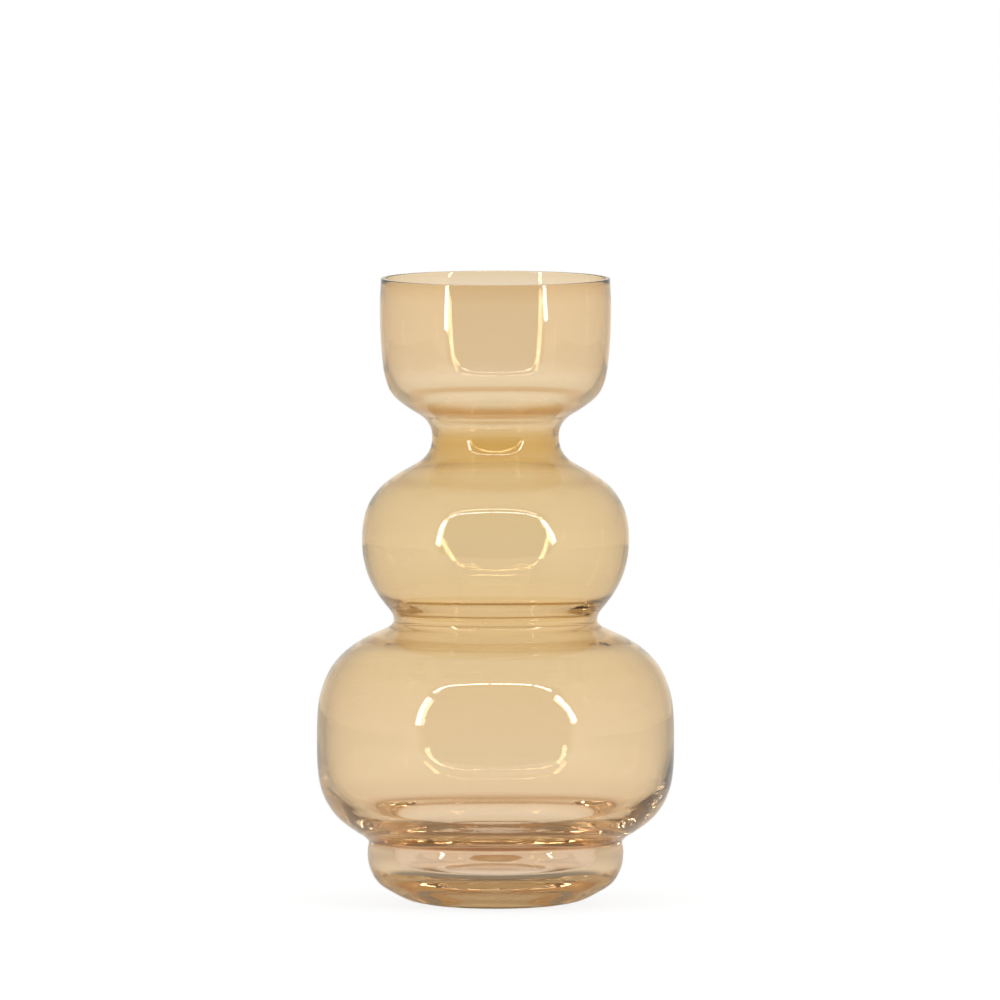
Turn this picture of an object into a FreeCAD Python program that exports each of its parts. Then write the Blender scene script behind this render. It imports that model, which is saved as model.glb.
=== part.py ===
import FreeCAD, Part
import Sketcher
import math
import os

# A gourd vase of blown glass, standing on its foot, with +Z up and the origin at the bottom centre.
# One wall of glass runs from the foot to the lip. It is divided at the creases and narrow places
# that the eye reads as its sections, and each section is turned about the vase's axis.

# Lengths are in millimetres.
SIZES = {
    # Thick bottom of the foot: the ring that the vase stands on, the hollow inside the ring, the edge
    "ground_ring_radius": 24.0,
    "ground_ring_width": 4.0,
    "punt_depth": 1.6,
    "foot_base_height": 14.0,
    "foot_edge_radius": 43.2,
    "foot_edge_height": 6.0,
    "foot_joint_radius": 50.1,
    "well_floor_radius": 35.5,
    # Wall of the foot, round the well inside it
    "foot_wall_height": 10.8,
    "foot_radius": 51.25,
    "foot_radius_height": 7.0,
    "foot_wall": 10.0,
    "well_corner_height": 5.5,
    # Crease between the foot and the lower bulb
    "crease_radius": 50.7,
    "crease_wall": 9.7,
    # Lower bulb, the widest section
    "lower_bulb_height": 84.8,
    "lower_bulb_radius": 71.5,
    "lower_bulb_wall": 2.9,
    "lower_bulb_top_radius": 46.0,
    "lower_bulb_top_wall": 10.0,
    # Waist, a pinched groove outside and a plain throat inside
    "waist_height": 9.9,
    "waist_radius": 40.7,
    "waist_wall": 6.0,
    "waist_top_radius": 43.3,
    "waist_top_wall": 6.5,
    # Middle bulb
    "middle_bulb_height": 55.5,
    "middle_bulb_radius": 53.5,
    "middle_bulb_wall": 1.9,
    "middle_bulb_top_radius": 34.6,
    "middle_bulb_top_wall": 3.7,
    # Neck, the narrowest section
    "neck_height": 22.0,
    "neck_radius": 25.4,
    "neck_wall": 2.2,
    "neck_top_radius": 31.4,
    "neck_top_wall": 3.8,
    # Cup at the top
    "cup_height": 49.0,
    "cup_radius": 46.3,
    "cup_wall": 2.0,
    "cup_top_radius": 46.2,
    # Lip, drawn in a little and rounded by fire
    "rim_height": 5.0,
    "lip_radius": 45.9,
}


class Size:
    """A size: its value, and the formula in the sheet's cells that gives it."""

    def __init__(self, value, formula):
        self.value = value
        self.formula = formula

    def __add__(self, other):
        return Size(self.value + other.value, "(%s + %s)" % (self.formula, other.formula))

    def __sub__(self, other):
        return Size(self.value - other.value, "(%s - %s)" % (self.formula, other.formula))

    def __mul__(self, share):
        return Size(self.value * share, "(%s * %r)" % (self.formula, share))


ZERO = Size(0, "0")

# Turns of the arcs in the foot and the lip, in degrees
PUNT_TURN = -40
HEEL_TURN = 23
FOOT_EDGE_TURN = 39
FOOT_SIDE_TURN = 18
FOOT_SHOULDER_TURN = 16
WELL_CORNER_TURN = 88
WELL_SIDE_TURN = 5
LIP_TURN = 90

# Flat middle of the hollow under the foot, as a share of the hollow's radius
PUNT_FLOOR_SHARE = 0.6
HALF_SHARE = 0.5


def size(name):
    """The size with this name in the sheet."""
    return Size(SIZES[name], "Sizes.%s" % name)


def between(low, high, share):
    """The size that lies a share of the way from low to high."""
    return low + (high - low) * share


def arc_radius(start, end, turn):
    """Radius of the arc that turns by so many degrees on its way from start to end."""
    across = end[0] - start[0]
    along = end[1] - start[1]
    chord = math.hypot(across.value, along.value)
    value = chord / (2 * math.sin(math.radians(turn) / 2))
    return Size(value, "hypot(%s; %s) / (2 * sin(%r / 2))" % (across.formula, along.formula, turn))


# Heights of the joints between the sections, each on top of the one below
WELL_FLOOR = size("foot_base_height")
CREASE = WELL_FLOOR + size("foot_wall_height")
LOWER_BULB_TOP = CREASE + size("lower_bulb_height")
WAIST_TOP = LOWER_BULB_TOP + size("waist_height")
MIDDLE_BULB_TOP = WAIST_TOP + size("middle_bulb_height")
NECK_TOP = MIDDLE_BULB_TOP + size("neck_height")
CUP_TOP = NECK_TOP + size("cup_height")
LIP_TOP = CUP_TOP + size("rim_height")


def outline(low, high, bottom_height, height, station_shares):
    """Points of a wall's face, from the bottom up, each with the turn of the arc that leaves it.

    A station gives its share of the way from the low to the high radius, its share of the
    section's height, and the turn in degrees: outwards is positive, and zero is a straight line.
    """
    points = []
    for radius_share, height_share, turn in station_shares:
        radius = between(low, high, radius_share)
        points.append((radius, bottom_height + height * height_share, turn))
    return points


def wall_loop(outside, inside):
    """Closed loop of a section: up its outside, over its top, down its inside and back."""
    loop = outside[:-1]
    loop.append((outside[-1][0], outside[-1][1], 0))
    downwards = inside[::-1]
    for place, (radius, height, turn) in enumerate(downwards):
        turn_below = downwards[place + 1][2] if place + 1 < len(downwards) else 0
        loop.append((radius, height, -turn_below))
    return loop


def edge(start, end, turn):
    """Straight line or arc from start to end; an arc with a positive turn turns to the left."""
    a = FreeCAD.Vector(start[0].value, start[1].value, 0)
    b = FreeCAD.Vector(end[0].value, end[1].value, 0)
    if turn == 0:
        return Part.LineSegment(a, b)
    chord = b - a
    right = FreeCAD.Vector(chord.y, -chord.x, 0)
    middle = (a + b) / 2 + right * (math.tan(math.radians(turn) / 4) / 2)
    return Part.Arc(a, middle, b) if turn > 0 else Part.Arc(b, middle, a)


def bind(sketch, constraint, name, amount):
    """Adds a constraint to the sketch and ties it to the amount's formula."""
    sketch.addConstraint(constraint)
    sketch.renameConstraint(sketch.ConstraintCount - 1, name)
    sketch.setExpression("Constraints." + name, amount.formula)


def place_point(sketch, where, number, radius, height):
    """Fixes a corner of the loop at its radius and height, or on the axis or ground."""
    piece, end = where
    if radius.value == 0:
        sketch.addConstraint(Sketcher.Constraint("PointOnObject", piece, end, -2))
    else:
        across = Sketcher.Constraint("DistanceX", -1, 1, piece, end, radius.value)
        bind(sketch, across, "radius_%d" % number, radius)
    if height.value == 0:
        sketch.addConstraint(Sketcher.Constraint("PointOnObject", piece, end, -1))
    else:
        up = Sketcher.Constraint("DistanceY", -1, 1, piece, end, height.value)
        bind(sketch, up, "height_%d" % number, height)


def section(document, name, loop):
    """Turns a closed loop of radius, height and turn about the axis into one section of glass."""
    body = document.addObject("PartDesign::Body", name)
    body.Label = name
    sketch = body.newObject("Sketcher::SketchObject", name + "_profile")
    plane = [item for item in body.Origin.OriginFeatures if item.Role == "XZ_Plane"][0]
    sketch.AttachmentSupport = [(plane, "")]
    sketch.MapMode = "FlatFace"

    count = len(loop)
    ends = []
    for number in range(count):
        start, end, turn = loop[number], loop[(number + 1) % count], loop[number][2]
        piece = sketch.addGeometry(edge(start, end, turn), False)
        first = FreeCAD.Vector(start[0].value, start[1].value, 0)
        drawn = sketch.Geometry[piece]
        forwards = drawn.StartPoint.distanceToPoint(first) < drawn.EndPoint.distanceToPoint(first)
        ends.append(((piece, 1), (piece, 2)) if forwards else ((piece, 2), (piece, 1)))

    for number in range(count):
        leaving = ends[number][0]
        arriving = ends[number - 1][1]
        sketch.addConstraint(Sketcher.Constraint("Coincident", *arriving, *leaving))
        radius, height, turn = loop[number]
        place_point(sketch, leaving, number, radius, height)
    for number in range(count):
        start, end, turn = loop[number], loop[(number + 1) % count], loop[number][2]
        if turn:
            radius = arc_radius(start, end, abs(turn))
            bind(sketch, Sketcher.Constraint("Radius", number, radius.value), "arc_%d" % number, radius)

    turned = body.newObject("PartDesign::Revolution", name + "_turned")
    turned.Profile = sketch
    turned.ReferenceAxis = (sketch, ["V_Axis"])
    turned.Angle = 360
    return body


def foot_base(document):
    """Thick round bottom of the foot, hollowed a little under its middle."""
    ring = size("ground_ring_radius")
    hollow = ring - size("ground_ring_width")
    loop = [
        (ZERO, size("punt_depth"), 0),
        (hollow * PUNT_FLOOR_SHARE, size("punt_depth"), PUNT_TURN),
        (hollow, ZERO, 0),
        (ring, ZERO, HEEL_TURN),
        (size("foot_edge_radius"), size("foot_edge_height"), FOOT_EDGE_TURN),
        (size("foot_joint_radius"), WELL_FLOOR, 0),
        (ZERO, WELL_FLOOR, 0),
    ]
    return section(document, "foot_base", loop)


def foot_wall(document):
    """Thick wall of the foot, which bulges over the crease above it, round the well inside."""
    outside = [
        (size("foot_joint_radius"), WELL_FLOOR, FOOT_SIDE_TURN),
        (size("foot_radius"), WELL_FLOOR + size("foot_radius_height"), FOOT_SHOULDER_TURN),
        (size("crease_radius"), CREASE, 0),
    ]
    inside = [
        (size("well_floor_radius"), WELL_FLOOR, WELL_CORNER_TURN),
        (size("foot_radius") - size("foot_wall"), WELL_FLOOR + size("well_corner_height"), WELL_SIDE_TURN),
        (size("crease_radius") - size("crease_wall"), CREASE, 0),
    ]
    return section(document, "foot_wall", wall_loop(outside, inside))


def bulb_wall(bottom, widest, top, base, height, below_shares, above_shares):
    """Face of a bulb's wall: up to its widest place, and on to its top."""
    below = outline(bottom, widest, base, height, below_shares)
    above = outline(top, widest, base, height, above_shares)
    return below + above


def lower_bulb(document):
    """Widest bulb, flat-sided like a cushion, with thick glass where it meets the foot."""
    height = size("lower_bulb_height")
    outside = bulb_wall(
        size("crease_radius"), size("lower_bulb_radius"), size("lower_bulb_top_radius"),
        CREASE, height,
        below_shares=[(0, 0, 0), (0.447, 0.087, 41), (0.933, 0.274, 8.7)],
        above_shares=[(1, 0.492, 6), (0.973, 0.651, 61), (0.177, 0.976, 0), (0, 1, 0)],
    )
    inside = bulb_wall(
        size("crease_radius") - size("crease_wall"),
        size("lower_bulb_radius") - size("lower_bulb_wall"),
        size("lower_bulb_top_radius") - size("lower_bulb_top_wall"),
        CREASE, height,
        below_shares=[(0, 0, -51), (0.326, 0.104, 55), (0.913, 0.297, 16)],
        above_shares=[(1, 0.492, 7.6), (0.972, 0.651, 61), (0.337, 0.96, 0), (0, 1, 0)],
    )
    return section(document, "lower_bulb", wall_loop(outside, inside))


def pinched_wall(bottom, narrowest, top, base, height, below_shares, above_shares):
    """Face of a narrow place: in to its narrowest ring, and out again to its top."""
    below = outline(narrowest, bottom, base, height, below_shares)
    above = outline(narrowest, top, base, height, above_shares)
    return below + above


def waist(document):
    """Pinched ring between the two bulbs."""
    height = size("waist_height")
    outside = pinched_wall(
        size("lower_bulb_top_radius"), size("waist_radius"), size("waist_top_radius"),
        LOWER_BULB_TOP, height,
        below_shares=[(1, 0, 0), (0.453, 0.141, -60)],
        above_shares=[(0, 0.475, -40), (0.577, 0.849, 0), (1, 1, 0)],
    )
    inside = pinched_wall(
        size("lower_bulb_top_radius") - size("lower_bulb_top_wall"),
        size("waist_radius") - size("waist_wall"),
        size("waist_top_radius") - size("waist_top_wall"),
        LOWER_BULB_TOP, height,
        below_shares=[(1, 0, -31)],
        above_shares=[(0, 0.475, -44), (1, 1, 0)],
    )
    return section(document, "waist", wall_loop(outside, inside))


def middle_bulb(document):
    """Middle bulb, rounder than the lower one and thin-walled."""
    height = size("middle_bulb_height")
    above_shares = [(1, 0.478, 16.5), (0.908, 0.694, 44), (0.28, 0.946, 0), (0, 1, 0)]
    outside = bulb_wall(
        size("waist_top_radius"), size("middle_bulb_radius"), size("middle_bulb_top_radius"),
        WAIST_TOP, height,
        below_shares=[(0, 0, 42)],
        above_shares=above_shares,
    )
    inside = bulb_wall(
        size("waist_top_radius") - size("waist_top_wall"),
        size("middle_bulb_radius") - size("middle_bulb_wall"),
        size("middle_bulb_top_radius") - size("middle_bulb_top_wall"),
        WAIST_TOP, height,
        below_shares=[(0, 0, 58)],
        above_shares=above_shares,
    )
    return section(document, "middle_bulb", wall_loop(outside, inside))


def neck(document):
    """Narrow neck, curved inwards all the way up."""
    height = size("neck_height")
    below_shares = [(1, 0, 0), (0.717, 0.068, -60)]
    above_shares = [(0, 0.568, -58), (1, 1, 0)]
    outside = pinched_wall(
        size("middle_bulb_top_radius"), size("neck_radius"), size("neck_top_radius"),
        MIDDLE_BULB_TOP, height, below_shares, above_shares,
    )
    inside = pinched_wall(
        size("middle_bulb_top_radius") - size("middle_bulb_top_wall"),
        size("neck_radius") - size("neck_wall"),
        size("neck_top_radius") - size("neck_top_wall"),
        MIDDLE_BULB_TOP, height, below_shares, above_shares,
    )
    return section(document, "neck", wall_loop(outside, inside))


def cup(document):
    """Cup on top of the neck: a sloping floor, a round corner and a nearly straight side."""
    height = size("cup_height")
    outside = outline(
        size("neck_top_radius"), size("cup_radius"), NECK_TOP, height,
        [(0, 0, 9.5), (0.524, 0.112, 27), (0.785, 0.225, 14), (0.917, 0.388, 6), (1, 0.878, 2)],
    )
    outside.append((size("cup_top_radius"), CUP_TOP, 0))
    inside = outline(
        size("neck_top_radius") - size("neck_top_wall"), size("cup_radius") - size("cup_wall"),
        NECK_TOP, height,
        [(0, 0, 10), (0.593, 0.151, 23), (0.796, 0.243, 15), (0.928, 0.4, 6), (1, 0.878, 2)],
    )
    inside.append((size("cup_top_radius") - size("cup_wall"), CUP_TOP, 0))
    return section(document, "cup", wall_loop(outside, inside))


def rim(document):
    """Lip of the cup, with its edge rounded to half the wall."""
    wall = size("cup_wall")
    half_wall = wall * HALF_SHARE
    round_start = LIP_TOP - half_wall
    outside = [
        (size("cup_top_radius"), CUP_TOP, 0),
        (size("lip_radius"), round_start, LIP_TURN),
        (size("lip_radius") - half_wall, LIP_TOP, LIP_TURN),
        (size("lip_radius") - wall, round_start, 0),
        (size("cup_top_radius") - wall, CUP_TOP, 0),
    ]
    return section(document, "rim", outside)


def main():
    document = FreeCAD.newDocument("gourd_vase")
    sheet = document.addObject("Spreadsheet::Sheet", "Sizes")
    for row, (name, value) in enumerate(SIZES.items(), start=1):
        sheet.set("A%d" % row, name)
        sheet.set("B%d" % row, str(value))
        sheet.setAlias("B%d" % row, name)
    document.recompute()

    builders = (foot_base, foot_wall, lower_bulb, waist, middle_bulb, neck, cup, rim)
    bodies = [build(document) for build in builders]
    document.recompute()

    for item in document.Objects:
        if "Invalid" in item.State or "Error" in item.State:
            raise RuntimeError("%s failed: %s" % (item.Name, item.State))
    os.makedirs("parts", exist_ok=True)
    for body in bodies:
        if body.Shape.isNull() or not body.Shape.isValid() or len(body.Shape.Solids) != 1:
            raise RuntimeError("%s is not one valid solid" % body.Label)
        body.Shape.exportStep("parts/%s.step" % body.Label)
        print("%s: %.1f cm3" % (body.Label, body.Shape.Volume / 1000))


main()
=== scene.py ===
# %% [markdown]
# A gourd vase of amber glass, dressed for its portrait.
# The real vase is one wall of blown glass: foot, two bulbs, neck and cup without a seam.
# The construction model divides that wall into eight solids. Glass shows every face inside it,
# so here one closed vessel, made from the same sizes, stands for all eight.

# %% Load the construction model and keep its box
import math

import bpy
from mathutils import Matrix, Vector


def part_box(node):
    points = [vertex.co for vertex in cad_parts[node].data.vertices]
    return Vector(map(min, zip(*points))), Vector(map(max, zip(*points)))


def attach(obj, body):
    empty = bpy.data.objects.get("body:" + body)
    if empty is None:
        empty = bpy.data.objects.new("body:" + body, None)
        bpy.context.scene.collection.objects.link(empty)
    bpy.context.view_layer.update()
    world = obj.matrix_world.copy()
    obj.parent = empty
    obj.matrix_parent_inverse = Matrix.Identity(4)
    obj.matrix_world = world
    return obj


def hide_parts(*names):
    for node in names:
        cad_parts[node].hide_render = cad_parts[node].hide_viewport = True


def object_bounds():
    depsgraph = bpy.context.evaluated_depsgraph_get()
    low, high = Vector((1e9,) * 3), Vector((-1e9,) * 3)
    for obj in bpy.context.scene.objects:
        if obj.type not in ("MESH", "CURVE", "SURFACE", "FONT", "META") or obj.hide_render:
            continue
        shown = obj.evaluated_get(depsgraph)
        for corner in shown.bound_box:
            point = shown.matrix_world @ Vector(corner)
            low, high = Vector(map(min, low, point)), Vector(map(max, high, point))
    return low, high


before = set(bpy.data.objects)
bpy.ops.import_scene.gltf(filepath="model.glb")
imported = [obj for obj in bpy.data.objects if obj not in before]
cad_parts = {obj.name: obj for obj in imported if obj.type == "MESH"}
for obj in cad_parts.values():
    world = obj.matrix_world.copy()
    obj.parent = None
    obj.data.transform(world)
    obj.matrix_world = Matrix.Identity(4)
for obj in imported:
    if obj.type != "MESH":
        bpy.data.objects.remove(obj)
cad_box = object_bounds()
MM = 0.001
print("construction box in mm:", [[round(c / MM, 1) for c in corner] for corner in cad_box])

# %% [markdown]
# Two helpers serve every node tree here. Colours are picked on a screen as sRGB hex values, while
# the renderer adds up light in linear values, so one function turns the first into the second.
# The other adds a node with its settings and links in one call, which keeps each tree readable.
# Some nodes have several inputs of one name, such as the A and B of a Mix or a Compare for each
# kind of data, so an input can be given by its number too.


# %% Helpers for colours and node trees
def linear(hex_colour):
    """Linear RGBA of an sRGB hex colour such as EEDAB4, by the formula of the sRGB standard."""
    channels = [int(hex_colour[place:place + 2], 16) / 255 for place in (0, 2, 4)]
    return [c / 12.92 if c <= 0.04045 else ((c + 0.055) / 1.055) ** 2.4 for c in channels] + [1.0]


def add_node(tree, kind, inputs=None, **settings):
    """Adds a node. An input is a plain value, a socket, or a node that gives its first output."""
    node = tree.nodes.new(kind)
    for name, value in settings.items():
        setattr(node, name, value)
    for name, value in (inputs or {}).items():
        if isinstance(value, bpy.types.Node):
            value = value.outputs[0]
        if isinstance(value, bpy.types.NodeSocket):
            tree.links.new(value, node.inputs[name])
        else:
            node.inputs[name].default_value = value
    return node


print("sRGB 808080 is %.3f in linear light" % linear("808080")[0])

# %% [markdown]
# The photograph was taken from far away with a long lens, a little above the vase: the rim and
# the foot are almost equally open ellipses. So the camera stands 13 m off and looks down by 4
# degrees. A long lens keeps the vase's true proportions, as a catalogue photograph does.

# %% Camera
CAMERA_DISTANCE = 13.0
CAMERA_PITCH = math.radians(4.09)
PIXEL = 0.4 * MM
PIXELS_ACROSS = 1000
SENSOR_WIDTH = 36.0
aim = Vector((1.8 * MM, 0, 162 * MM))

camera_data = bpy.data.cameras.new("portrait_camera")
camera_data.sensor_width = SENSOR_WIDTH
camera_data.lens = SENSOR_WIDTH * CAMERA_DISTANCE / (PIXEL * PIXELS_ACROSS)
camera = bpy.data.objects.new("portrait_camera", camera_data)
bpy.context.scene.collection.objects.link(camera)
camera.location = aim + CAMERA_DISTANCE * Vector((0, -math.cos(CAMERA_PITCH), math.sin(CAMERA_PITCH)))
camera.rotation_euler = (math.pi / 2 - CAMERA_PITCH, 0, 0)
bpy.context.scene.camera = camera
bpy.context.scene.view_settings.view_transform = "Standard"
print("lens: %.0f mm" % camera_data.lens)

# %% [markdown]
# Light can be caught in a glass wall and reflected inside it many times before it leaves. The
# renderer gives up after a few bounces and paints such a spot black, so a glass scene lets
# light bounce more often.

# %% Light paths for glass
LIGHT_BOUNCES = 32

light_paths = bpy.context.scene.cycles
light_paths.max_bounces = LIGHT_BOUNCES
light_paths.glossy_bounces = LIGHT_BOUNCES
light_paths.transmission_bounces = LIGHT_BOUNCES
print("light may bounce %d times" % LIGHT_BOUNCES)

# %% [markdown]
# The real vase has its colour in a film on the glass. Light that goes straight through a wall
# crosses the film once, and the renderer gives it that colour. Light that is mirrored inside the
# wall meets the film on the way to the face and again on the way back, and comes out as deep
# amber, but the renderer leaves a mirrored ray white. So the surroundings that such a ray ends at
# take the film's colour, once for each reflection and at most twice. A reflection off the outside
# gets a part of it, for the light that it mixes with.

# %% Colour of light that the glass has reflected
FILM = "EFDEC2"
FILM_MOST = 2.0
FILM_OUTSIDE = 0.35


def film_colour(tree):
    """The film's colour once for each reflection inside the glass, a part of it for one outside."""
    ray = add_node(tree, "ShaderNodeLightPath").outputs
    inside = add_node(tree, "ShaderNodeMath", {0: ray["Transmission Depth"], 1: 1.0}, operation="MINIMUM")
    times = add_node(tree, "ShaderNodeMath", {0: inside, 1: ray["Glossy Depth"]}, operation="MULTIPLY")
    times = add_node(tree, "ShaderNodeMath", {0: times, 1: FILM_MOST}, operation="MINIMUM")
    once = add_node(tree, "ShaderNodeMath", {0: ray["Glossy Depth"], 1: 1.0}, operation="MINIMUM")
    outside = add_node(tree, "ShaderNodeMath", {0: once, 1: FILM_OUTSIDE}, operation="MULTIPLY")
    times = add_node(tree, "ShaderNodeMath", {0: times, 1: outside}, operation="MAXIMUM")
    return add_node(tree, "ShaderNodeGamma", {"Color": linear(FILM), "Gamma": times})


print("film colour in linear light:", [round(c, 3) for c in linear(FILM)[:3]])

# %% [markdown]
# Glass has almost no look of its own: it shows what stands around it. Here that is a white
# product tent, open in front, where the camera looks in. The opening is dark. Light that comes
# straight through the glass always sees white, from every side. Light that the glass has
# reflected, outside or inside the wall, sees the tent as it is: lit at the sides near the lamps,
# greyer towards the back and the top, and dark at the opening. That keeps the amber deep in the
# middle of each bulb, gives the vase its grey edges and draws the dark lines in the thick glass.

# %% White tent: where a ray goes
world = bpy.data.worlds.new("white_tent")
bpy.context.scene.world = world
world.use_nodes = True
tent = world.node_tree
tent.nodes.clear()
ray = add_node(tent, "ShaderNodeLightPath").outputs
reflected = add_node(tent, "ShaderNodeMath", {0: ray["Glossy Depth"], 1: 1.0}, operation="MINIMUM")
direction = add_node(tent, "ShaderNodeTexCoord").outputs["Generated"]
toward = add_node(tent, "ShaderNodeSeparateXYZ", {"Vector": direction}).outputs
print("the world is", world.name)

# %% White tent: the dark opening in front
OPENING_BRIGHTNESS = 0.28
OPENING_HALF_WIDTH = 1.23
OPENING_TOP = 1.4
OPENING_BLUR = 0.1
LEAST_FORWARD = 0.001

backward = add_node(tent, "ShaderNodeMath", {0: toward["Y"], 1: -1.0}, operation="MULTIPLY")
forward = add_node(tent, "ShaderNodeMath", {0: backward, 1: LEAST_FORWARD}, operation="MAXIMUM")
sideways = add_node(tent, "ShaderNodeMath", {0: toward["X"], 1: forward}, operation="DIVIDE")
across = add_node(tent, "ShaderNodeMath", {0: sideways}, operation="ABSOLUTE")
upwards = add_node(tent, "ShaderNodeMath", {0: toward["Z"], 1: forward}, operation="DIVIDE")
within = [
    add_node(tent, "ShaderNodeMapRange", {
        "Value": distance, "From Min": edge - OPENING_BLUR, "From Max": edge + OPENING_BLUR,
        "To Min": 1.0, "To Max": 0.0,
    })
    for distance, edge in ((across, OPENING_HALF_WIDTH), (upwards, OPENING_TOP))
]
opening = add_node(tent, "ShaderNodeMath", {0: within[0], 1: within[1]}, operation="MULTIPLY")
opening_seen = add_node(tent, "ShaderNodeMath", {0: opening, 1: reflected}, operation="MULTIPLY")
print("half width of the opening: %.0f degrees" % math.degrees(math.atan(OPENING_HALF_WIDTH)))

# %% White tent: walls and top
TENT_WALLS = ((-1.0, 1.1), (-0.3, 1.1), (0.3, 0.85), (0.75, 0.76), (0.93, 0.76), (0.985, 1.0))
WALLS_BRIGHTEST = 1.1
TENT_OVERHEAD = 0.75
OVERHEAD_RANGE = (0.35, 1.0)

walls_place = add_node(tent, "ShaderNodeMapRange", {
    "Value": toward["Y"], "From Min": -1.0, "From Max": 1.0,
})
walls = add_node(tent, "ShaderNodeValToRGB", {"Fac": walls_place})
for number, (backwards, level) in enumerate(TENT_WALLS):
    stops = walls.color_ramp.elements
    stop = stops.new((backwards + 1) / 2) if number > 1 else stops[number]
    stop.position = (backwards + 1) / 2
    stop.color = [level / WALLS_BRIGHTEST] * 3 + [1.0]
overhead = add_node(tent, "ShaderNodeMapRange", {
    "Value": toward["Z"], "From Min": OVERHEAD_RANGE[0], "From Max": OVERHEAD_RANGE[1],
    "To Min": 1.0, "To Max": TENT_OVERHEAD,
})
walls_level = add_node(tent, "ShaderNodeMath", {0: walls, 1: WALLS_BRIGHTEST}, operation="MULTIPLY")
walls_level = add_node(tent, "ShaderNodeMath", {0: walls_level, 1: overhead}, operation="MULTIPLY")
print("levels of the walls from front to back:", [level for _, level in TENT_WALLS])

# %% White tent: put together
tent_level = add_node(tent, "ShaderNodeMix", {"Factor": reflected, 2: 1.0, 3: walls_level})
tent_white = add_node(tent, "ShaderNodeMix", {"Factor": ray["Is Camera Ray"], 2: tent_level, 3: 1.0})
brightness = add_node(tent, "ShaderNodeMix", {
    "Factor": opening_seen, 2: tent_white, 3: OPENING_BRIGHTNESS,
})
white = add_node(tent, "ShaderNodeBackground", {"Color": film_colour(tent), "Strength": brightness})
add_node(tent, "ShaderNodeOutputWorld", {"Surface": white})
print("nodes in the tent:", len(tent.nodes))

# %% [markdown]
# The floor is a sheet of white paper that ends at the tent's opening. To the camera and through
# the glass it glows white, and a small share of it is plain paper, which keeps a faint shadow.
# A reflection off the outside of the glass shows the plain paper. Light that was mirrored inside
# the wall sees a painted pool of lamp light round the vase that fades outwards, and painted shade
# under the foot, where the vase shades the floor. That greys the sides of the lower bulb and
# darkens the underside of the glass.

# %% Paper floor
PAPER = "FAFAFA"
PAPER_GLOW = 1.02
FLOOR_SHADOW_SHARE = 0.15
FLOOR_FRONT = 600 * MM
FLOOR_SIDES = 1600 * MM
POOL_RADIUS = (60 * MM, 220 * MM)
FLOOR_FAR_LEVEL = 0.5
FOOT_RADIUS = (44 * MM, 56 * MM)
UNDER_FOOT_SHARE = 0.3


def reflected_floor_level(tree):
    """Painted pool of light and painted shade under the foot: the floor's glow to light mirrored inside
    the glass.
    """
    place = add_node(tree, "ShaderNodeTexCoord").outputs["Object"]
    distance = add_node(tree, "ShaderNodeVectorMath", {0: place}, operation="LENGTH").outputs["Value"]
    # Painted pool of light round the vase and painted shade under the foot, in the floor's glow.
    pool = add_node(tree, "ShaderNodeMapRange", {
        "Value": distance, "From Min": POOL_RADIUS[0], "From Max": POOL_RADIUS[1],
        "To Min": PAPER_GLOW, "To Max": FLOOR_FAR_LEVEL,
    })
    under_foot = add_node(tree, "ShaderNodeMapRange", {
        "Value": distance, "From Min": FOOT_RADIUS[0], "From Max": FOOT_RADIUS[1],
        "To Min": UNDER_FOOT_SHARE, "To Max": 1.0,
    })
    return add_node(tree, "ShaderNodeMath", {0: pool, 1: under_foot}, operation="MULTIPLY")


def floor_material():
    """White paper that is white to the camera and keeps a faint shadow."""
    material = bpy.data.materials.new("white_paper_floor")
    material.use_nodes = True
    tree = material.node_tree
    tree.nodes.clear()
    ray = add_node(tree, "ShaderNodeLightPath").outputs
    seen = add_node(tree, "ShaderNodeMath", {
        0: ray["Is Camera Ray"], 1: ray["Is Transmission Ray"],
    }, operation="MAXIMUM")
    share = add_node(tree, "ShaderNodeMath", {0: seen, 1: 1 - FLOOR_SHADOW_SHARE}, operation="MULTIPLY")
    reflected = add_node(tree, "ShaderNodeMath", {0: ray["Glossy Depth"], 1: 1.0}, operation="MINIMUM")
    level = add_node(tree, "ShaderNodeMix", {
        "Factor": reflected, 2: PAPER_GLOW, 3: reflected_floor_level(tree),
    })
    paper = add_node(tree, "ShaderNodeBsdfDiffuse", {"Color": linear(PAPER)})
    glow = add_node(tree, "ShaderNodeEmission", {"Color": film_colour(tree), "Strength": level})
    mixed = add_node(tree, "ShaderNodeMixShader", {"Fac": share, 1: paper, 2: glow})
    add_node(tree, "ShaderNodeOutputMaterial", {"Surface": mixed})
    return material


floor_mesh = bpy.data.meshes.new("floor")
floor_mesh.from_pydata([
    (-FLOOR_SIDES, -FLOOR_FRONT, 0), (FLOOR_SIDES, -FLOOR_FRONT, 0),
    (FLOOR_SIDES, FLOOR_SIDES, 0), (-FLOOR_SIDES, FLOOR_SIDES, 0),
], [], [(0, 1, 2, 3)])
floor_mesh.materials.append(floor_material())
floor = bpy.data.objects.new("floor", floor_mesh)
bpy.context.scene.collection.objects.link(floor)
print("floor: %.1f m wide, %.1f m deep" % (2 * FLOOR_SIDES, FLOOR_SIDES + FLOOR_FRONT))

# %% [markdown]
# The bright lines on the glass are reflections of strip lamps round the opening: two end to end
# above, one on each side, and a short slanting one in each upper corner. The lines low on each
# bulb are the same lamps again, upside down, in the hollow mirror of the far wall. Each lamp is
# an area light, and its power follows from its size, so all the strips are equally bright.

# %% Frame of strip lamps
FRAME_DISTANCE = 630 * MM
STRIP_RADIANCE = 15.0
LAMP_AIM = Vector((0, 0, 120 * MM))
STRIPS = (
    ("strip_top_left", (-500, 835), (-70, 835), 35),
    ("strip_top_right", (-46, 835), (360, 835), 35),
    ("strip_corner_left", (-520, 828), (-640, 690), 35),
    ("strip_corner_right", (380, 830), (560, 710), 35),
    ("strip_left", (-670, 600), (-745, 125), 60),
    ("strip_right", (595, 620), (780, 155), 60),
)


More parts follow.
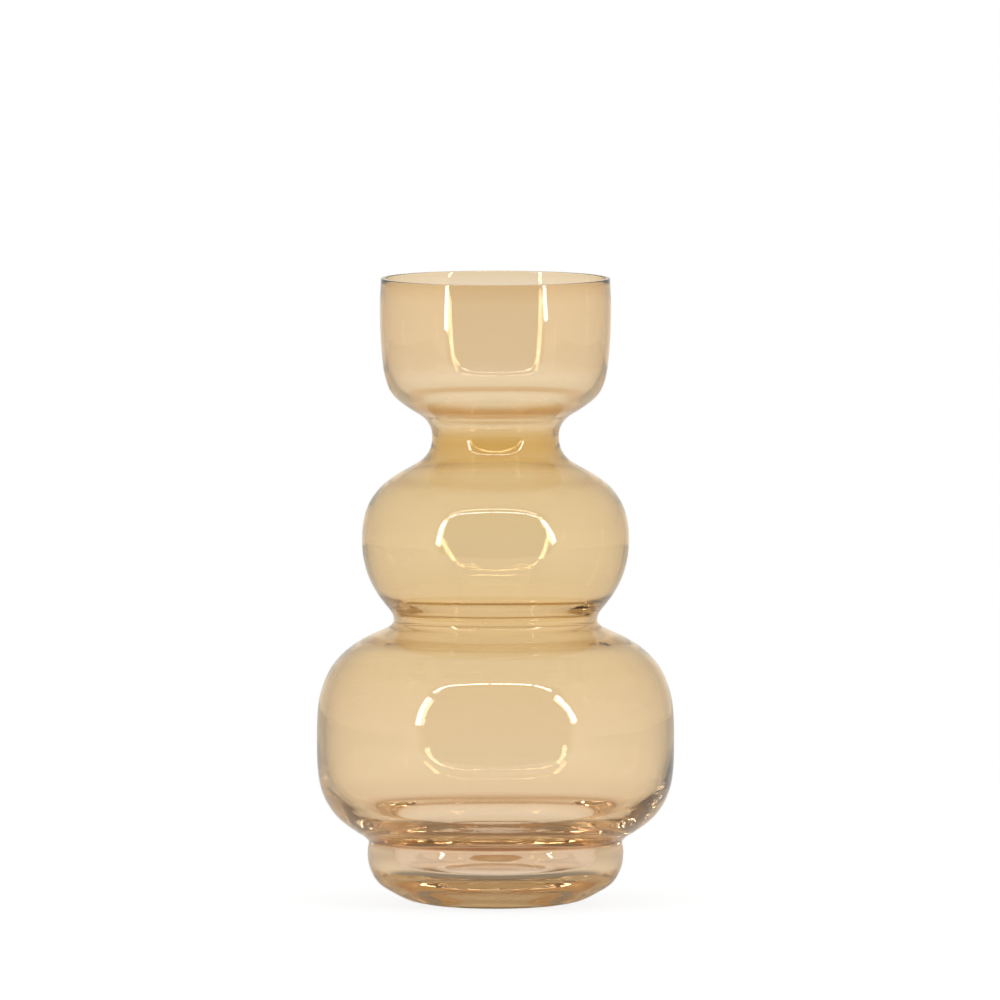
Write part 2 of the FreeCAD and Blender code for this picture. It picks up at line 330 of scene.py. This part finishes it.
def strip_lamp(name, start, end, width):
    """Thin area lamp between two places in the frame, in mm across and up, turned to the vase."""
    start, end = (Vector((x * MM, -FRAME_DISTANCE, z * MM)) for x, z in (start, end))
    length = (end - start).length
    lamp = bpy.data.lights.new(name, "AREA")
    lamp.shape = "RECTANGLE"
    lamp.size = length
    lamp.size_y = width * MM
    lamp.energy = STRIP_RADIANCE * length * width * MM * math.pi
    strip = bpy.data.objects.new(name, lamp)
    bpy.context.scene.collection.objects.link(strip)
    strip.location = (start + end) / 2
    along = (end - start).normalized()
    away = strip.location - LAMP_AIM
    away = (away - along * away.dot(along)).normalized()
    strip.rotation_euler = Matrix((along, away.cross(along), away)).transposed().to_euler()
    print("%s: %.0f mm long" % (name, length / MM))


for strip_facts in STRIPS:
    strip_lamp(*strip_facts)

# %% [markdown]
# The vase is round about one axis, so its shape is one outline. That could be a list of points in
# millimetres, but then it wouldn't follow the construction model. Here each section of the model
# gives its own height and widest radius, and a station is a share of those two and a lean: the
# direction in degrees in which the outline leaves it, 0 straight up and 90 outwards. Between two
# stations runs one smooth curve. The inside follows the outside at a few millimetres, and where
# the two lean differently the wall works as a wedge. At the waist and under the lower bulb the
# wedge is steep enough to mirror the light, which makes the dark corners there.


# %% Sizes of the sections
SECTIONS = ("foot_base", "foot_wall", "lower_bulb", "waist", "middle_bulb", "neck", "cup", "rim")


def section_size(node):
    """Bottom height, top height and widest radius of a section."""
    low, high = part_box(node)
    return low.z, high.z, high.x


def stations(node, shares):
    """Stations of a section: radius, height and lean, from shares of its widest radius and height."""
    low, high, widest = section_size(node)
    return [(widest * r, low + (high - low) * h, lean) for r, h, lean in shares]


for name in SECTIONS:
    print(name, [round(value / MM, 2) for value in section_size(name)])

# %% Outside of the wall, from the ground ring to the cup
outside = (
    stations("foot_base", [
        (0.0, 0.114, 90), (0.24, 0.114, 90), (0.37, 0.04, 110), (0.41, 0.0, 90), (0.48, 0.0, 90),
        (0.64, 0.08, 80), (0.862, 0.43, 61), (0.958, 0.714, 35), (1.0, 1.0, 22),
    ])
    + stations("foot_wall", [(1.0, 0.62, 0), (0.994, 0.87, -12)])
    + stations("lower_bulb", [
        (0.71, 0.001, 8), (0.719, 0.016, 45), (0.752, 0.038, 59), (0.836, 0.085, 53),
        (0.898, 0.132, 41), (0.938, 0.179, 31), (0.965, 0.226, 21), (0.991, 0.31, 7.5),
        (1.0, 0.485, 0), (0.992, 0.651, -7), (0.966, 0.745, -20), (0.91, 0.84, -36),
        (0.793, 0.934, -56), (0.694, 0.981, -66),
    ])
    + stations("waist", [
        (0.937, 0.141, -62), (0.891, 0.343, -35), (0.885, 0.475, 0), (0.892, 0.646, 22),
    ])
    + stations("middle_bulb", [
        (0.819, 0.009, 39), (0.899, 0.117, 31), (0.966, 0.261, 17), (1.0, 0.478, 0),
        (0.968, 0.694, -19), (0.88, 0.838, -40), (0.8, 0.91, -53), (0.68, 0.982, -61),
    ])
    + stations("neck", [
        (0.861, 0.136, -53), (0.766, 0.318, -26), (0.734, 0.568, 0), (0.76, 0.773, 28),
        (0.861, 0.955, 55),
    ])
    + stations("cup", [
        (0.713, 0.02, 58), (0.779, 0.061, 55), (0.881, 0.143, 41), (0.946, 0.265, 17),
        (0.973, 0.388, 7), (1.0, 0.878, 0),
    ])
)
print("stations outside:", len(outside))

# %% Inside of the wall, from the well's floor to the cup
inside = (
    stations("foot_wall", [(0.0, 0.0, 90), (0.66, 0.0, 90), (0.785, 0.25, 30), (0.803, 0.65, 2)])
    + stations("lower_bulb", [
        (0.575, 0.001, 4), (0.588, 0.036, 30), (0.617, 0.06, 59), (0.66, 0.08, 66),
        (0.7065, 0.0975, 61), (0.786, 0.136, 54.5), (0.8517, 0.179, 45), (0.898, 0.2264, 33.5),
        (0.9273, 0.2736, 21.5), (0.9455, 0.3267, 11), (0.9566, 0.3974, 4.5), (0.96, 0.486, 0),
        (0.952, 0.651, -8), (0.927, 0.735, -21), (0.872, 0.828, -38), (0.764, 0.917, -56),
        (0.657, 0.96, -68), (0.58, 0.992, -60),
    ])
    + stations("waist", [(0.835, 0.192, -30), (0.822, 0.475, 0), (0.8326, 0.788, 28)])
    + stations("middle_bulb", [
        (0.7776, 0.0252, 48), (0.8411, 0.0865, 40), (0.9009, 0.1892, 24), (0.944, 0.315, 13),
        (0.965, 0.478, 0), (0.929, 0.694, -18), (0.84, 0.84, -41), (0.697, 0.94, -58),
    ])
    + stations("neck", [(0.853, 0.072, -56), (0.716, 0.31, -24), (0.671, 0.568, 0), (0.705, 0.79, 28)])
    + stations("cup", [
        (0.596, 0.0, 57), (0.81, 0.151, 47), (0.883, 0.243, 25), (0.931, 0.4, 7), (0.957, 0.878, 0),
    ])
)
print("stations inside:", len(inside))

# %% [markdown]
# The lip is cut flat and softened by a flame, which rounds its two edges a little. A fully round
# lip would bend light all along its front and draw a dark line there. The outline goes up the
# outside, over the lip and down the inside, so the inner stations are taken from the top down,
# each with its lean turned round.

# %% The lip, and the whole outline
LIP_INSET = 0.3 * MM
LIP_WALL = 1.8 * MM
LIP_EDGE = 0.35 * MM

rim_low, rim_high, rim_radius = section_size("rim")
lip_outside = rim_radius - LIP_INSET
lip_inside = lip_outside - LIP_WALL
lip = [
    (lip_outside, rim_high - LIP_EDGE, 0),
    (lip_outside - LIP_EDGE, rim_high, -90),
    (lip_inside + LIP_EDGE, rim_high, -90),
    (lip_inside, rim_high - LIP_EDGE, -180),
]
outline = outside + lip + [(r, z, lean - 180) for r, z, lean in inside[::-1]]
print("stations in all:", len(outline))

# %% [markdown]
# A Bezier curve goes through its points along its handles. For an arc of a circle the handle's
# length follows from the turn between the two ends, and the same rule gives a fair curve
# wherever the ends lean differently. So each station needs its lean and nothing else.

# %% The outline as a Bezier curve
SAMPLES_BETWEEN_STATIONS = 5


def handle_length(start, end):
    """Length of the handles that make an arc between two stations."""
    chord = math.hypot(end[0] - start[0], end[1] - start[1])
    turn = (end[2] - start[2] + 180) % 360 - 180
    return chord * 2 / 3 / (1 + math.cos(math.radians(turn) / 2))


def outline_curve(points, samples):
    """Curve object through the stations, in the XZ plane."""
    data = bpy.data.curves.new("vessel_outline", "CURVE")
    data.dimensions = "3D"
    spline = data.splines.new("BEZIER")
    spline.bezier_points.add(len(points) - 1)
    spline.resolution_u = samples
    for place, (radius, z, lean) in enumerate(points):
        point = spline.bezier_points[place]
        here = Vector((radius, 0, z))
        ahead = Vector((math.sin(math.radians(lean)), 0, math.cos(math.radians(lean))))
        before = handle_length(points[place - 1], points[place]) if place else 0
        after = handle_length(points[place], points[place + 1]) if place + 1 < len(points) else 0
        point.handle_left_type = point.handle_right_type = "FREE"
        point.co = here
        point.handle_left = here - ahead * before
        point.handle_right = here + ahead * after
    curve = bpy.data.objects.new("vessel_outline", data)
    bpy.context.scene.collection.objects.link(curve)
    return curve


vessel_curve = outline_curve(outline, SAMPLES_BETWEEN_STATIONS)
print("points of the curve:", len(vessel_curve.data.splines[0].bezier_points))

# %% [markdown]
# A Screw modifier could turn the outline about the axis, but it would make every ring perfectly
# round. The real cavity isn't quite in the middle of the glass, and its wall isn't quite even: the
# inside was formed by air alone. So Geometry Nodes turn the outline, with an input for each of the
# two. A flat grid has a column for each point of the outline and a row for each step round the
# axis, every corner of the grid is moved to its place, and the corners inside a little further.

# %% Inputs of the tree that turns the outline
TREE_INPUTS = {
    "Segments": "Int", "Inside From": "Int", "Cavity Shift": "Float", "Shift Bottom": "Float",
    "Shift Top": "Float", "Wave Height": "Float", "Wave Length": "Float", "Seed": "Float",
    "Material": "Material",
}
print("inputs:", ", ".join(TREE_INPUTS))


# %% Turn each point of the outline about the axis
def turned_outline(tree, given):
    """Flat grid, column number of each corner, its place on the vessel, and the way outwards."""
    line = add_node(tree, "GeometryNodeCurveToMesh", {"Curve": given["Geometry"]})
    count = add_node(tree, "GeometryNodeAttributeDomainSize", {"Geometry": line}, component="MESH")
    rows = add_node(tree, "FunctionNodeIntegerMath", {0: given["Segments"], 1: 1}, operation="ADD")
    grid = add_node(tree, "GeometryNodeMeshGrid", {
        "Vertices X": count.outputs["Point Count"], "Vertices Y": rows,
    })
    number = add_node(tree, "GeometryNodeInputIndex")
    column = add_node(tree, "FunctionNodeIntegerMath", {0: number, 1: rows}, operation="DIVIDE_FLOOR")
    row = add_node(tree, "FunctionNodeIntegerMath", {0: number, 1: rows}, operation="MODULO")
    turns = add_node(tree, "ShaderNodeMath", {0: row, 1: given["Segments"]}, operation="DIVIDE")
    angle = add_node(tree, "ShaderNodeMath", {0: turns, 1: math.tau}, operation="MULTIPLY")
    outline_point = add_node(tree, "GeometryNodeSampleIndex", {
        "Geometry": line, "Value": add_node(tree, "GeometryNodeInputPosition"), "Index": column,
    }, data_type="FLOAT_VECTOR", domain="POINT")
    turned, outwards = (
        add_node(tree, "ShaderNodeVectorRotate", {"Vector": start, "Angle": angle}, rotation_type="Z_AXIS")
        for start in (outline_point, (1.0, 0.0, 0.0))
    )
    return grid, column, turned, outwards


print("turned_outline places the corners of the grid")


# %% Shift the cavity and make its wall uneven
def cavity_shift(tree, given, turned):
    """Sideways shift of the cavity, most at half height between the two heights given."""
    height = add_node(tree, "ShaderNodeSeparateXYZ", {0: turned}).outputs["Z"]
    bulge = add_node(tree, "ShaderNodeMapRange", {
        "Value": height, "From Min": given["Shift Bottom"], "From Max": given["Shift Top"],
        "To Min": 0.0, "To Max": math.pi,
    })
    bulge = add_node(tree, "ShaderNodeMath", {0: bulge}, operation="SINE")
    off_axis = add_node(tree, "ShaderNodeMath", {0: bulge, 1: given["Cavity Shift"]}, operation="MULTIPLY")
    return add_node(tree, "ShaderNodeCombineXYZ", {"X": off_axis})


def wall_waves(tree, given, turned, outwards):
    """Low waves, outwards and inwards, that blown glass has on its inside."""
    frequency = add_node(tree, "ShaderNodeMath", {0: 1.0, 1: given["Wave Length"]}, operation="DIVIDE")
    waves = add_node(tree, "ShaderNodeTexNoise", {
        "Vector": turned, "W": given["Seed"], "Scale": frequency, "Detail": 1.0,
    }, noise_dimensions="4D")
    wave = add_node(tree, "ShaderNodeMath", {0: waves, 1: 0.5}, operation="SUBTRACT")
    wave = add_node(tree, "ShaderNodeMath", {0: wave, 1: given["Wave Height"]}, operation="MULTIPLY")
    return add_node(tree, "ShaderNodeVectorMath", {0: outwards, "Scale": wave}, operation="SCALE")


print("cavity_shift and wall_waves move the inside only")


# %% The whole tree
SEAM_DISTANCE = 0.002 * MM


def turning_tree():
    """Tree that turns an outline in the XZ plane about the Z axis into a closed vessel."""
    tree = bpy.data.node_groups.new("turn_outline", "GeometryNodeTree")
    new_socket = tree.interface.new_socket
    new_socket("Geometry", in_out="INPUT", socket_type="NodeSocketGeometry")
    for name, kind in TREE_INPUTS.items():
        new_socket(name, in_out="INPUT", socket_type="NodeSocket" + kind)
    new_socket("Geometry", in_out="OUTPUT", socket_type="NodeSocketGeometry")
    given = add_node(tree, "NodeGroupInput").outputs

    grid, column, turned, outwards = turned_outline(tree, given)
    is_inside = add_node(tree, "FunctionNodeCompare", {
        2: column, 3: given["Inside From"],
    }, data_type="INT", operation="GREATER_THAN")
    moved = add_node(tree, "ShaderNodeVectorMath", {
        0: wall_waves(tree, given, turned, outwards), 1: cavity_shift(tree, given, turned),
    }, operation="ADD")
    inner_move = add_node(tree, "ShaderNodeVectorMath", {0: moved, "Scale": is_inside}, operation="SCALE")
    place = add_node(tree, "ShaderNodeVectorMath", {0: turned, 1: inner_move}, operation="ADD")

    shaped = add_node(tree, "GeometryNodeSetPosition", {"Geometry": grid, "Position": place})
    marked = add_node(tree, "GeometryNodeStoreNamedAttribute", {
        "Geometry": shaped, "Name": "inside", "Value": is_inside,
    }, data_type="FLOAT", domain="POINT")
    closed = add_node(tree, "GeometryNodeMergeByDistance", {"Geometry": marked, "Distance": SEAM_DISTANCE})
    outward = add_node(tree, "GeometryNodeFlipFaces", {"Mesh": closed})
    smooth = add_node(tree, "GeometryNodeSetShadeSmooth", {"Geometry": outward})
    real = add_node(tree, "GeometryNodeRealizeInstances", {"Geometry": smooth})
    dressed = add_node(tree, "GeometryNodeSetMaterial", {"Geometry": real, "Material": given["Material"]})
    add_node(tree, "NodeGroupOutput", {"Geometry": dressed})
    return tree


turner = turning_tree()
print("nodes in the tree:", len(turner.nodes))

# %% [markdown]
# The finish is soda-lime glass with a thin amber lustre. Glass of this kind has an IOR near 1.5,
# and a blown surface is almost perfectly smooth. The amber could be in the body of the glass, but
# then the thick foot would be the darkest place, and it is the palest. So the lustre is a film on
# the surface: light that crosses one wall takes its colour once, and two walls give the colour
# that the vase shows. The film is made darker at the neck and the waist, and on the foot it is
# thin. Two narrow rings, in the crease over the foot and where the cup meets the neck, are
# painted shade: they darken the film to stand for the deep amber lines there. The body of the
# glass is nearly clear, with a slight straw tint that shows only where the glass is thick.

# %% Sizes and colours of the amber lustre and its painted shade rings
GLASS_IOR = 1.5
GLASS_ROUGHNESS = 0.01
# The rings at 26.7 mm and 199.7 mm are painted shade: dark lines in the crease over the foot and where the
# cup meets the neck.
LUSTRE_AND_SHADE_RINGS = (
    (0, "FAF1E6"), (14, "F8EDE0"), (24, "F3E0CC"), (25.3, "DDBE98"), (26.7, "9C6A44"), (28.4, "DCC0A0"),
    (30.5, "F3E2CE"), (36, "F2E0C8"), (44, "F4E5CC"), (66, "F5E6CC"), (80, "F4E4C9"), (104, "F2E2C3"),
    (112, "F1DDB8"), (122, "F2E0BF"), (140, "F2E3C6"), (165, "F2E2C3"), (174, "F0DDB8"), (181, "EBD3A2"),
    (186, "E9CF98"), (190, "F1DFC0"), (194, "F5E6CC"), (198.2, "F4E4C8"), (199.7, "D6A96C"),
    (201.2, "F4E6CC"), (206, "F8EDDA"), (215, "F3E3C9"), (243, "F2E1C6"), (251, "EAD3AE"),
)
BODY_TINT = "D7B861"
BODY_DENSITY = 3.0
RIPPLE_LENGTH = 1.6 * MM
RIPPLE_HEIGHT = 0.008 * MM
print("heights with a colour of their own:", len(LUSTRE_AND_SHADE_RINGS))


# %% Amber lustre glass
def lustre_and_shade_colour(tree, place):
    """Colour of the film at each height, from the floor to the lip, with two painted shade rings."""
    height = add_node(tree, "ShaderNodeSeparateXYZ", {"Vector": place}).outputs["Z"]
    share = add_node(tree, "ShaderNodeMapRange", {
        "Value": height, "From Min": cad_box[0][2], "From Max": cad_box[1][2],
    })
    # This ramp holds the film's colours and the painted shade rings.
    lustre = add_node(tree, "ShaderNodeValToRGB", {"Fac": share})
    stops = lustre.color_ramp.elements
    stops.remove(stops[0])
    for number, (z, colour) in enumerate(LUSTRE_AND_SHADE_RINGS):
        stop = stops.new(z * MM / cad_box[1][2]) if number else stops[0]
        stop.position = z * MM / cad_box[1][2]
        stop.color = linear(colour)
    return lustre


def inner_ripples(tree, place):
    """Fine ripples on the inside of the wall, which break up the lamps' reflections there."""
    ripples = add_node(tree, "ShaderNodeTexNoise", {
        "Vector": place, "Scale": 1 / RIPPLE_LENGTH, "Detail": 1.0,
    })
    inside_only = add_node(tree, "ShaderNodeAttribute", attribute_name="inside").outputs["Fac"]
    relief = add_node(tree, "ShaderNodeMath", {0: ripples, 1: inside_only}, operation="MULTIPLY")
    return add_node(tree, "ShaderNodeBump", {"Height": relief, "Distance": RIPPLE_HEIGHT})


def amber_glass():
    """Clear glass with an amber lustre, blown in a mould."""
    material = bpy.data.materials.new("amber_lustre_glass")
    material.use_nodes = True
    tree = material.node_tree
    tree.nodes.clear()
    place = add_node(tree, "ShaderNodeTexCoord").outputs["Object"]
    glass = add_node(tree, "ShaderNodeBsdfPrincipled", {
        "Base Color": lustre_and_shade_colour(tree, place), "Roughness": GLASS_ROUGHNESS, "IOR": GLASS_IOR,
        "Transmission Weight": 1.0, "Normal": inner_ripples(tree, place),
    })
    body = add_node(tree, "ShaderNodeVolumeAbsorption", {
        "Color": linear(BODY_TINT), "Density": BODY_DENSITY,
    })
    add_node(tree, "ShaderNodeOutputMaterial", {"Surface": glass, "Volume": body})
    return material


glass_finish = amber_glass()
print("finish:", glass_finish.name)

# %% [markdown]
# A modifier keeps its tree and works it out again each time. The finished piece is kept as a
# plain mesh instead, which is what goes on to other programs. The lip's last point closes the
# outside of the outline, and every point past it is inside.

# %% Make the vessel
SEGMENTS = 208
CAVITY_SHIFT = 0.4 * MM
WAVE_HEIGHT = 0.12 * MM
WAVE_LENGTH = 22 * MM
WAVE_SEED = 7.0


def plain_mesh(curve, tree, values, name):
    """Runs a tree on a curve object and gives its result as an object with a plain mesh."""
    modifier = curve.modifiers.new(tree.name, "NODES")
    modifier.node_group = tree
    for socket in tree.interface.items_tree:
        if socket.in_out == "INPUT" and socket.name in values:
            modifier[socket.identifier] = values[socket.name]
    evaluated = curve.evaluated_get(bpy.context.evaluated_depsgraph_get())
    mesh = bpy.data.meshes.new_from_object(evaluated)
    mesh.name = name
    piece = bpy.data.objects.new(name, mesh)
    bpy.context.scene.collection.objects.link(piece)
    bpy.data.objects.remove(curve)
    return piece


bulb_bottom, bulb_top, bulb_radius = section_size("lower_bulb")
lip_end = (len(outside) + len(lip) - 1) * SAMPLES_BETWEEN_STATIONS
vessel = plain_mesh(vessel_curve, turner, {
    "Segments": SEGMENTS, "Inside From": lip_end, "Cavity Shift": CAVITY_SHIFT,
    "Shift Bottom": bulb_bottom, "Shift Top": bulb_top,
    "Wave Height": WAVE_HEIGHT, "Wave Length": WAVE_LENGTH, "Seed": WAVE_SEED,
    "Material": glass_finish,
}, "glass_vessel")
print("vessel: %d faces, %d corners" % (len(vessel.data.polygons), len(vessel.data.vertices)))

# %% Place it in the frame
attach(vessel, "root")
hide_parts(*SECTIONS)
print(vessel.name, "stands for", len(SECTIONS), "sections")
